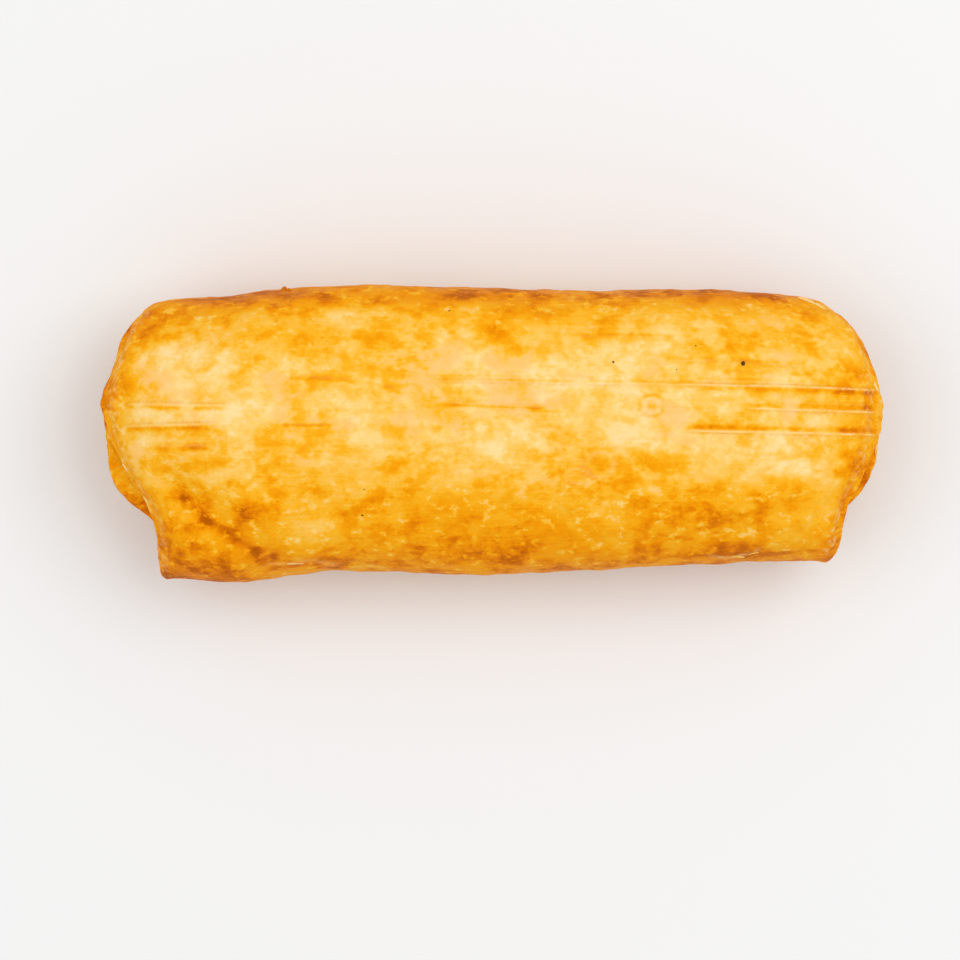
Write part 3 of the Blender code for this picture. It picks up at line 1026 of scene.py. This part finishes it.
    def blisters(self, mesh: bpy.types.Mesh, places: np.ndarray, zone: np.ndarray) -> np.ndarray:
        """Small blisters, more of them where the skin is brown.

        Args:
            mesh: The skin's mesh.
            places: Its vertices' places.
            zone: How brown each vertex is.

        Returns:
            How high each vertex stands on a blister, from 0 to 1.
        """
        tree = kdtree.KDTree(len(places))
        for number, place in enumerate(places):
            tree.insert(place, number)
        tree.balance()
        count = len(mesh.polygons)
        areas = np.empty(count)
        mesh.polygons.foreach_get("area", areas)
        centres = vectors(mesh.polygons, "center")
        draw = np.random.default_rng(self.seed)
        picked = draw.choice(count, size=self.blister_count, p=areas / areas.sum())
        raised = np.zeros(len(places))
        low, high = self.blister_radius
        for number in picked:
            radius = low + (high - low) * draw.random() ** 2.2
            strength = 0.35 + 0.65 * draw.random()
            centre = centres[number]
            nearest = tree.find(centre)[1]
            strength *= 0.35 + 0.65 * float(ease(np.array((zone[nearest] - 0.3) / 0.25)))
            for _, vertex, distance in tree.find_range(centre, radius):
                rise = strength * (1.0 - (distance / radius) ** 2) ** 2
                raised[vertex] = max(raised[vertex], rise)
        return raised

    def lumps(self, places: np.ndarray, zone: np.ndarray) -> np.ndarray:
        """Uneven swelling of the skin at two sizes.

        Args:
            places: The vertices' places.
            zone: How brown each vertex is.

        Returns:
            The height at each vertex.
        """
        heights = np.empty(len(places))
        for number, place in enumerate(places):
            spot = Vector(place)
            heights[number] = self.lump_height * noise.noise(spot / self.lump_size)
            heights[number] += self.ripple_height * noise.noise(spot / self.ripple_size)
        return heights * (0.55 + 0.6 * ease((zone - 0.25) / 0.3))


@dataclass(frozen=True)
class Flake:
    """A thin flake of crust on the skin, in millimetres and degrees.

    The fields are its place in plan, its size, its turn about the upright, how far its edge lifts, and how
    brown it is.
    """

    x: float
    y: float
    length: float
    width: float
    turn: float
    lift: float
    doneness: float = 0.15


@dataclass
class CrustFlakes:
    """Thin, curled flakes of crust and the crumbs that stick to the skin."""

    piece_name: str = "crust_flakes"
    thickness: float = 0.3 * MM
    clearance: float = 0.05 * MM
    flakes: tuple[Flake, ...] = (
        Flake(-61.5, 42.2, 2.6, 1.5, 60.0, 0.9, 1.0),
        Flake(-60.2, 42.0, 1.8, 1.1, -20.0, 0.6, 0.9),
        Flake(92.2, 39.0, 5.5, 1.0, -22.0, 0.6, 0.26),
        Flake(96.2, 37.2, 3.5, 0.8, -34.0, 0.4, 0.26),
        Flake(72.0, -36.0, 4.0, 0.9, -14.0, 0.3),
        Flake(76.5, -35.0, 3.0, 0.7, 24.0, 0.3),
        Flake(-58.0, -38.0, 5.0, 0.8, 4.0, 0.3),
        Flake(-107.6, -9.8, 2.8, 0.6, 122.0, 0.2),
        Flake(-101.6, -19.2, 2.4, 0.6, 128.0, 0.2),
        Flake(112.0, 13.5, 3.0, 0.7, -58.0, 0.3),
        Flake(112.3, -4.5, 3.4, 0.7, 76.0, 0.3, 0.3),
    )

    def build(self, skin: bpy.types.Object) -> bpy.types.Object:
        """Builds the flakes and lays each on the skin.

        Args:
            skin: The finished skin.

        Returns:
            The flakes as one piece.
        """
        tree = bvhtree.BVHTree.FromObject(skin, bpy.context.evaluated_depsgraph_get())
        parts = [self.one_flake(number, flake, tree) for number, flake in enumerate(self.flakes)]
        piece = joined(parts, self.piece_name, skin.data.materials[0])
        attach(piece, CAD_BODY)
        return piece

    def one_flake(self, number: int, flake: Flake, tree: bvhtree.BVHTree) -> bpy.types.Object:
        """Models one flake from a grid and lays it on the skin.

        Args:
            number: Which flake it is.
            flake: Its size and place.
            tree: The skin, to lay it on.

        Returns:
            The flake, with its place in its mesh.
        """
        bpy.ops.object.select_all(action="DESELECT")
        bpy.ops.mesh.primitive_grid_add(x_subdivisions=7, y_subdivisions=4, size=1.0)
        obj = bpy.context.view_layer.objects.active
        for vert in obj.data.vertices:
            u, v = vert.co.x * 2.0, vert.co.y * 2.0
            ragged = 0.22 * noise.noise(Vector((u * 1.6, v * 1.6, number * 3.1)))
            narrow = 1.0 - 0.75 * abs(u) ** 2.4
            vert.co.x = (0.5 * u + 0.12 * ragged) * flake.length * MM
            vert.co.y = (0.5 * v * narrow + ragged * 0.5) * flake.width * MM
            curl = 0.5 * (1.0 + v) * flake.lift * (0.6 + 0.5 * math.sin(2.3 * u + number))
            vert.co.z = curl * MM
        solid = obj.modifiers.new("thick", "SOLIDIFY")
        solid.thickness = self.thickness
        solid.offset = 0.0
        bpy.ops.object.modifier_apply(modifier=solid.name)
        rounded = obj.modifiers.new("round", "SUBSURF")
        rounded.levels = rounded.render_levels = 1
        bpy.ops.object.modifier_apply(modifier=rounded.name)
        turn = Matrix.Rotation(math.radians(flake.turn), 4, "Z")
        obj.data.transform(on_skin(tree, flake.x, flake.y, self.clearance) @ turn)
        store(obj.data, Field.DONENESS, np.full(len(obj.data.vertices), flake.doneness))
        obj.data.shade_smooth()
        return obj


@dataclass(frozen=True)
class Speck:
    """A dark speck pressed into the skin: its place in plan and its size, in millimetres."""

    x: float
    y: float
    size: float


@dataclass
class CharredSpecks:
    """Pepper and charred flour pressed into the skin."""

    piece_name: str = "charred_specks"
    flatness: float = 0.45
    specks: tuple[Speck, ...] = (
        Speck(72.6, 20.2, 1.3),
        Speck(34.8, 20.6, 0.65),
        Speck(58.8, 25.4, 0.4),
        Speck(-12.8, 35.7, 0.5),
        Speck(-38.1, -23.9, 0.62),
        Speck(-37.5, -16.3, 0.4),
        Speck(53.2, 18.4, 0.36),
    )

    def build(self, skin: bpy.types.Object) -> bpy.types.Object:
        """Builds the specks and presses each into the skin.

        Args:
            skin: The finished skin.

        Returns:
            The specks as one piece.
        """
        tree = bvhtree.BVHTree.FromObject(skin, bpy.context.evaluated_depsgraph_get())
        parts = []
        for number, speck in enumerate(self.specks):
            bpy.ops.object.select_all(action="DESELECT")
            bpy.ops.mesh.primitive_ico_sphere_add(subdivisions=2, radius=0.5 * speck.size * MM)
            obj = bpy.context.view_layer.objects.active
            for vert in obj.data.vertices:
                rough = 1.0 + 0.45 * noise.noise(vert.co / (0.4 * speck.size * MM) + Vector((number, 0, 0)))
                vert.co = vert.co * rough
                vert.co.z *= self.flatness
            obj.data.transform(on_skin(tree, speck.x, speck.y))
            parts.append(obj)
        piece = joined(parts, self.piece_name, SpeckFinish().material())
        piece.data.shade_smooth()
        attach(piece, CAD_BODY)
        return piece


@dataclass
class Studio:
    """A pale floor, soft lights and a camera that looks straight down, as the photo's does."""

    floor_size: float = 6.0
    view_x: float = -3.84 * MM
    view_y: float = -13.6 * MM
    outline_height: float = 25 * MM
    view_width: float = 283.8 * MM
    camera_distance: float = 1.6
    sensor: float = 36.0
    sky: float = 0.80

    def build(self) -> None:
        """Builds the floor, the lights and the camera."""
        self.floor()
        self.light("key", Vector((0.65, 0.3, 1.25)), 1.1, 6.8)
        self.light("fill", Vector((-0.85, 0.0, 1.3)), 1.4, 4.2)
        self.world()
        self.camera()

    def floor(self) -> None:
        """Lays the floor."""
        bpy.ops.object.select_all(action="DESELECT")
        bpy.ops.mesh.primitive_plane_add(size=self.floor_size)
        floor = bpy.context.view_layer.objects.active
        floor.name = "floor"
        floor.data.materials.append(FloorFinish().material())

    def light(self, name: str, place: Vector, size: float, power: float) -> None:
        """Hangs one soft light that faces the burrito.

        Args:
            name: Its name.
            place: Where it hangs.
            size: The side of its square.
            power: Its power in watts.
        """
        data = bpy.data.lights.new(name, "AREA")
        data.size = size
        data.energy = power
        lamp = bpy.data.objects.new(name, data)
        lamp.location = place
        lamp.rotation_euler = place.to_track_quat("Z", "Y").to_euler()
        bpy.context.scene.collection.objects.link(lamp)

    def world(self) -> None:
        """Gives even light from all round."""
        world = bpy.data.worlds.new("studio")
        world.use_nodes = True
        background = world.node_tree.nodes["Background"]
        background.inputs["Color"].default_value = (1.0, 1.0, 1.0, 1.0)
        background.inputs["Strength"].default_value = self.sky
        bpy.context.scene.world = world
        bpy.context.scene.view_settings.view_transform = "Standard"

    def camera(self) -> None:
        """Sets the camera over the burrito, where the photo's frame puts it."""
        data = bpy.data.cameras.new("camera")
        data.sensor_width = self.sensor
        data.lens = self.sensor * self.camera_distance / self.view_width
        camera = bpy.data.objects.new("camera", data)
        camera.location = (self.view_x, self.view_y, self.outline_height + self.camera_distance)
        bpy.context.scene.collection.objects.link(camera)
        bpy.context.scene.camera = camera


def report(piece: bpy.types.Object) -> None:
    """Logs what a piece came to."""
    piece.data.calc_loop_triangles()
    LOG.info("%s: %d triangles", piece.name, len(piece.data.loop_triangles))


def main() -> None:
    """Builds the burrito's pieces and the studio."""
    logging.basicConfig(level=logging.INFO, format="%(name)s %(message)s")
    skin = RolledTortilla().build()
    report(skin)
    report(CrustFlakes().build(skin))
    report(CharredSpecks().build(skin))
    Studio().build()


if __name__ == "__main__":
    main()
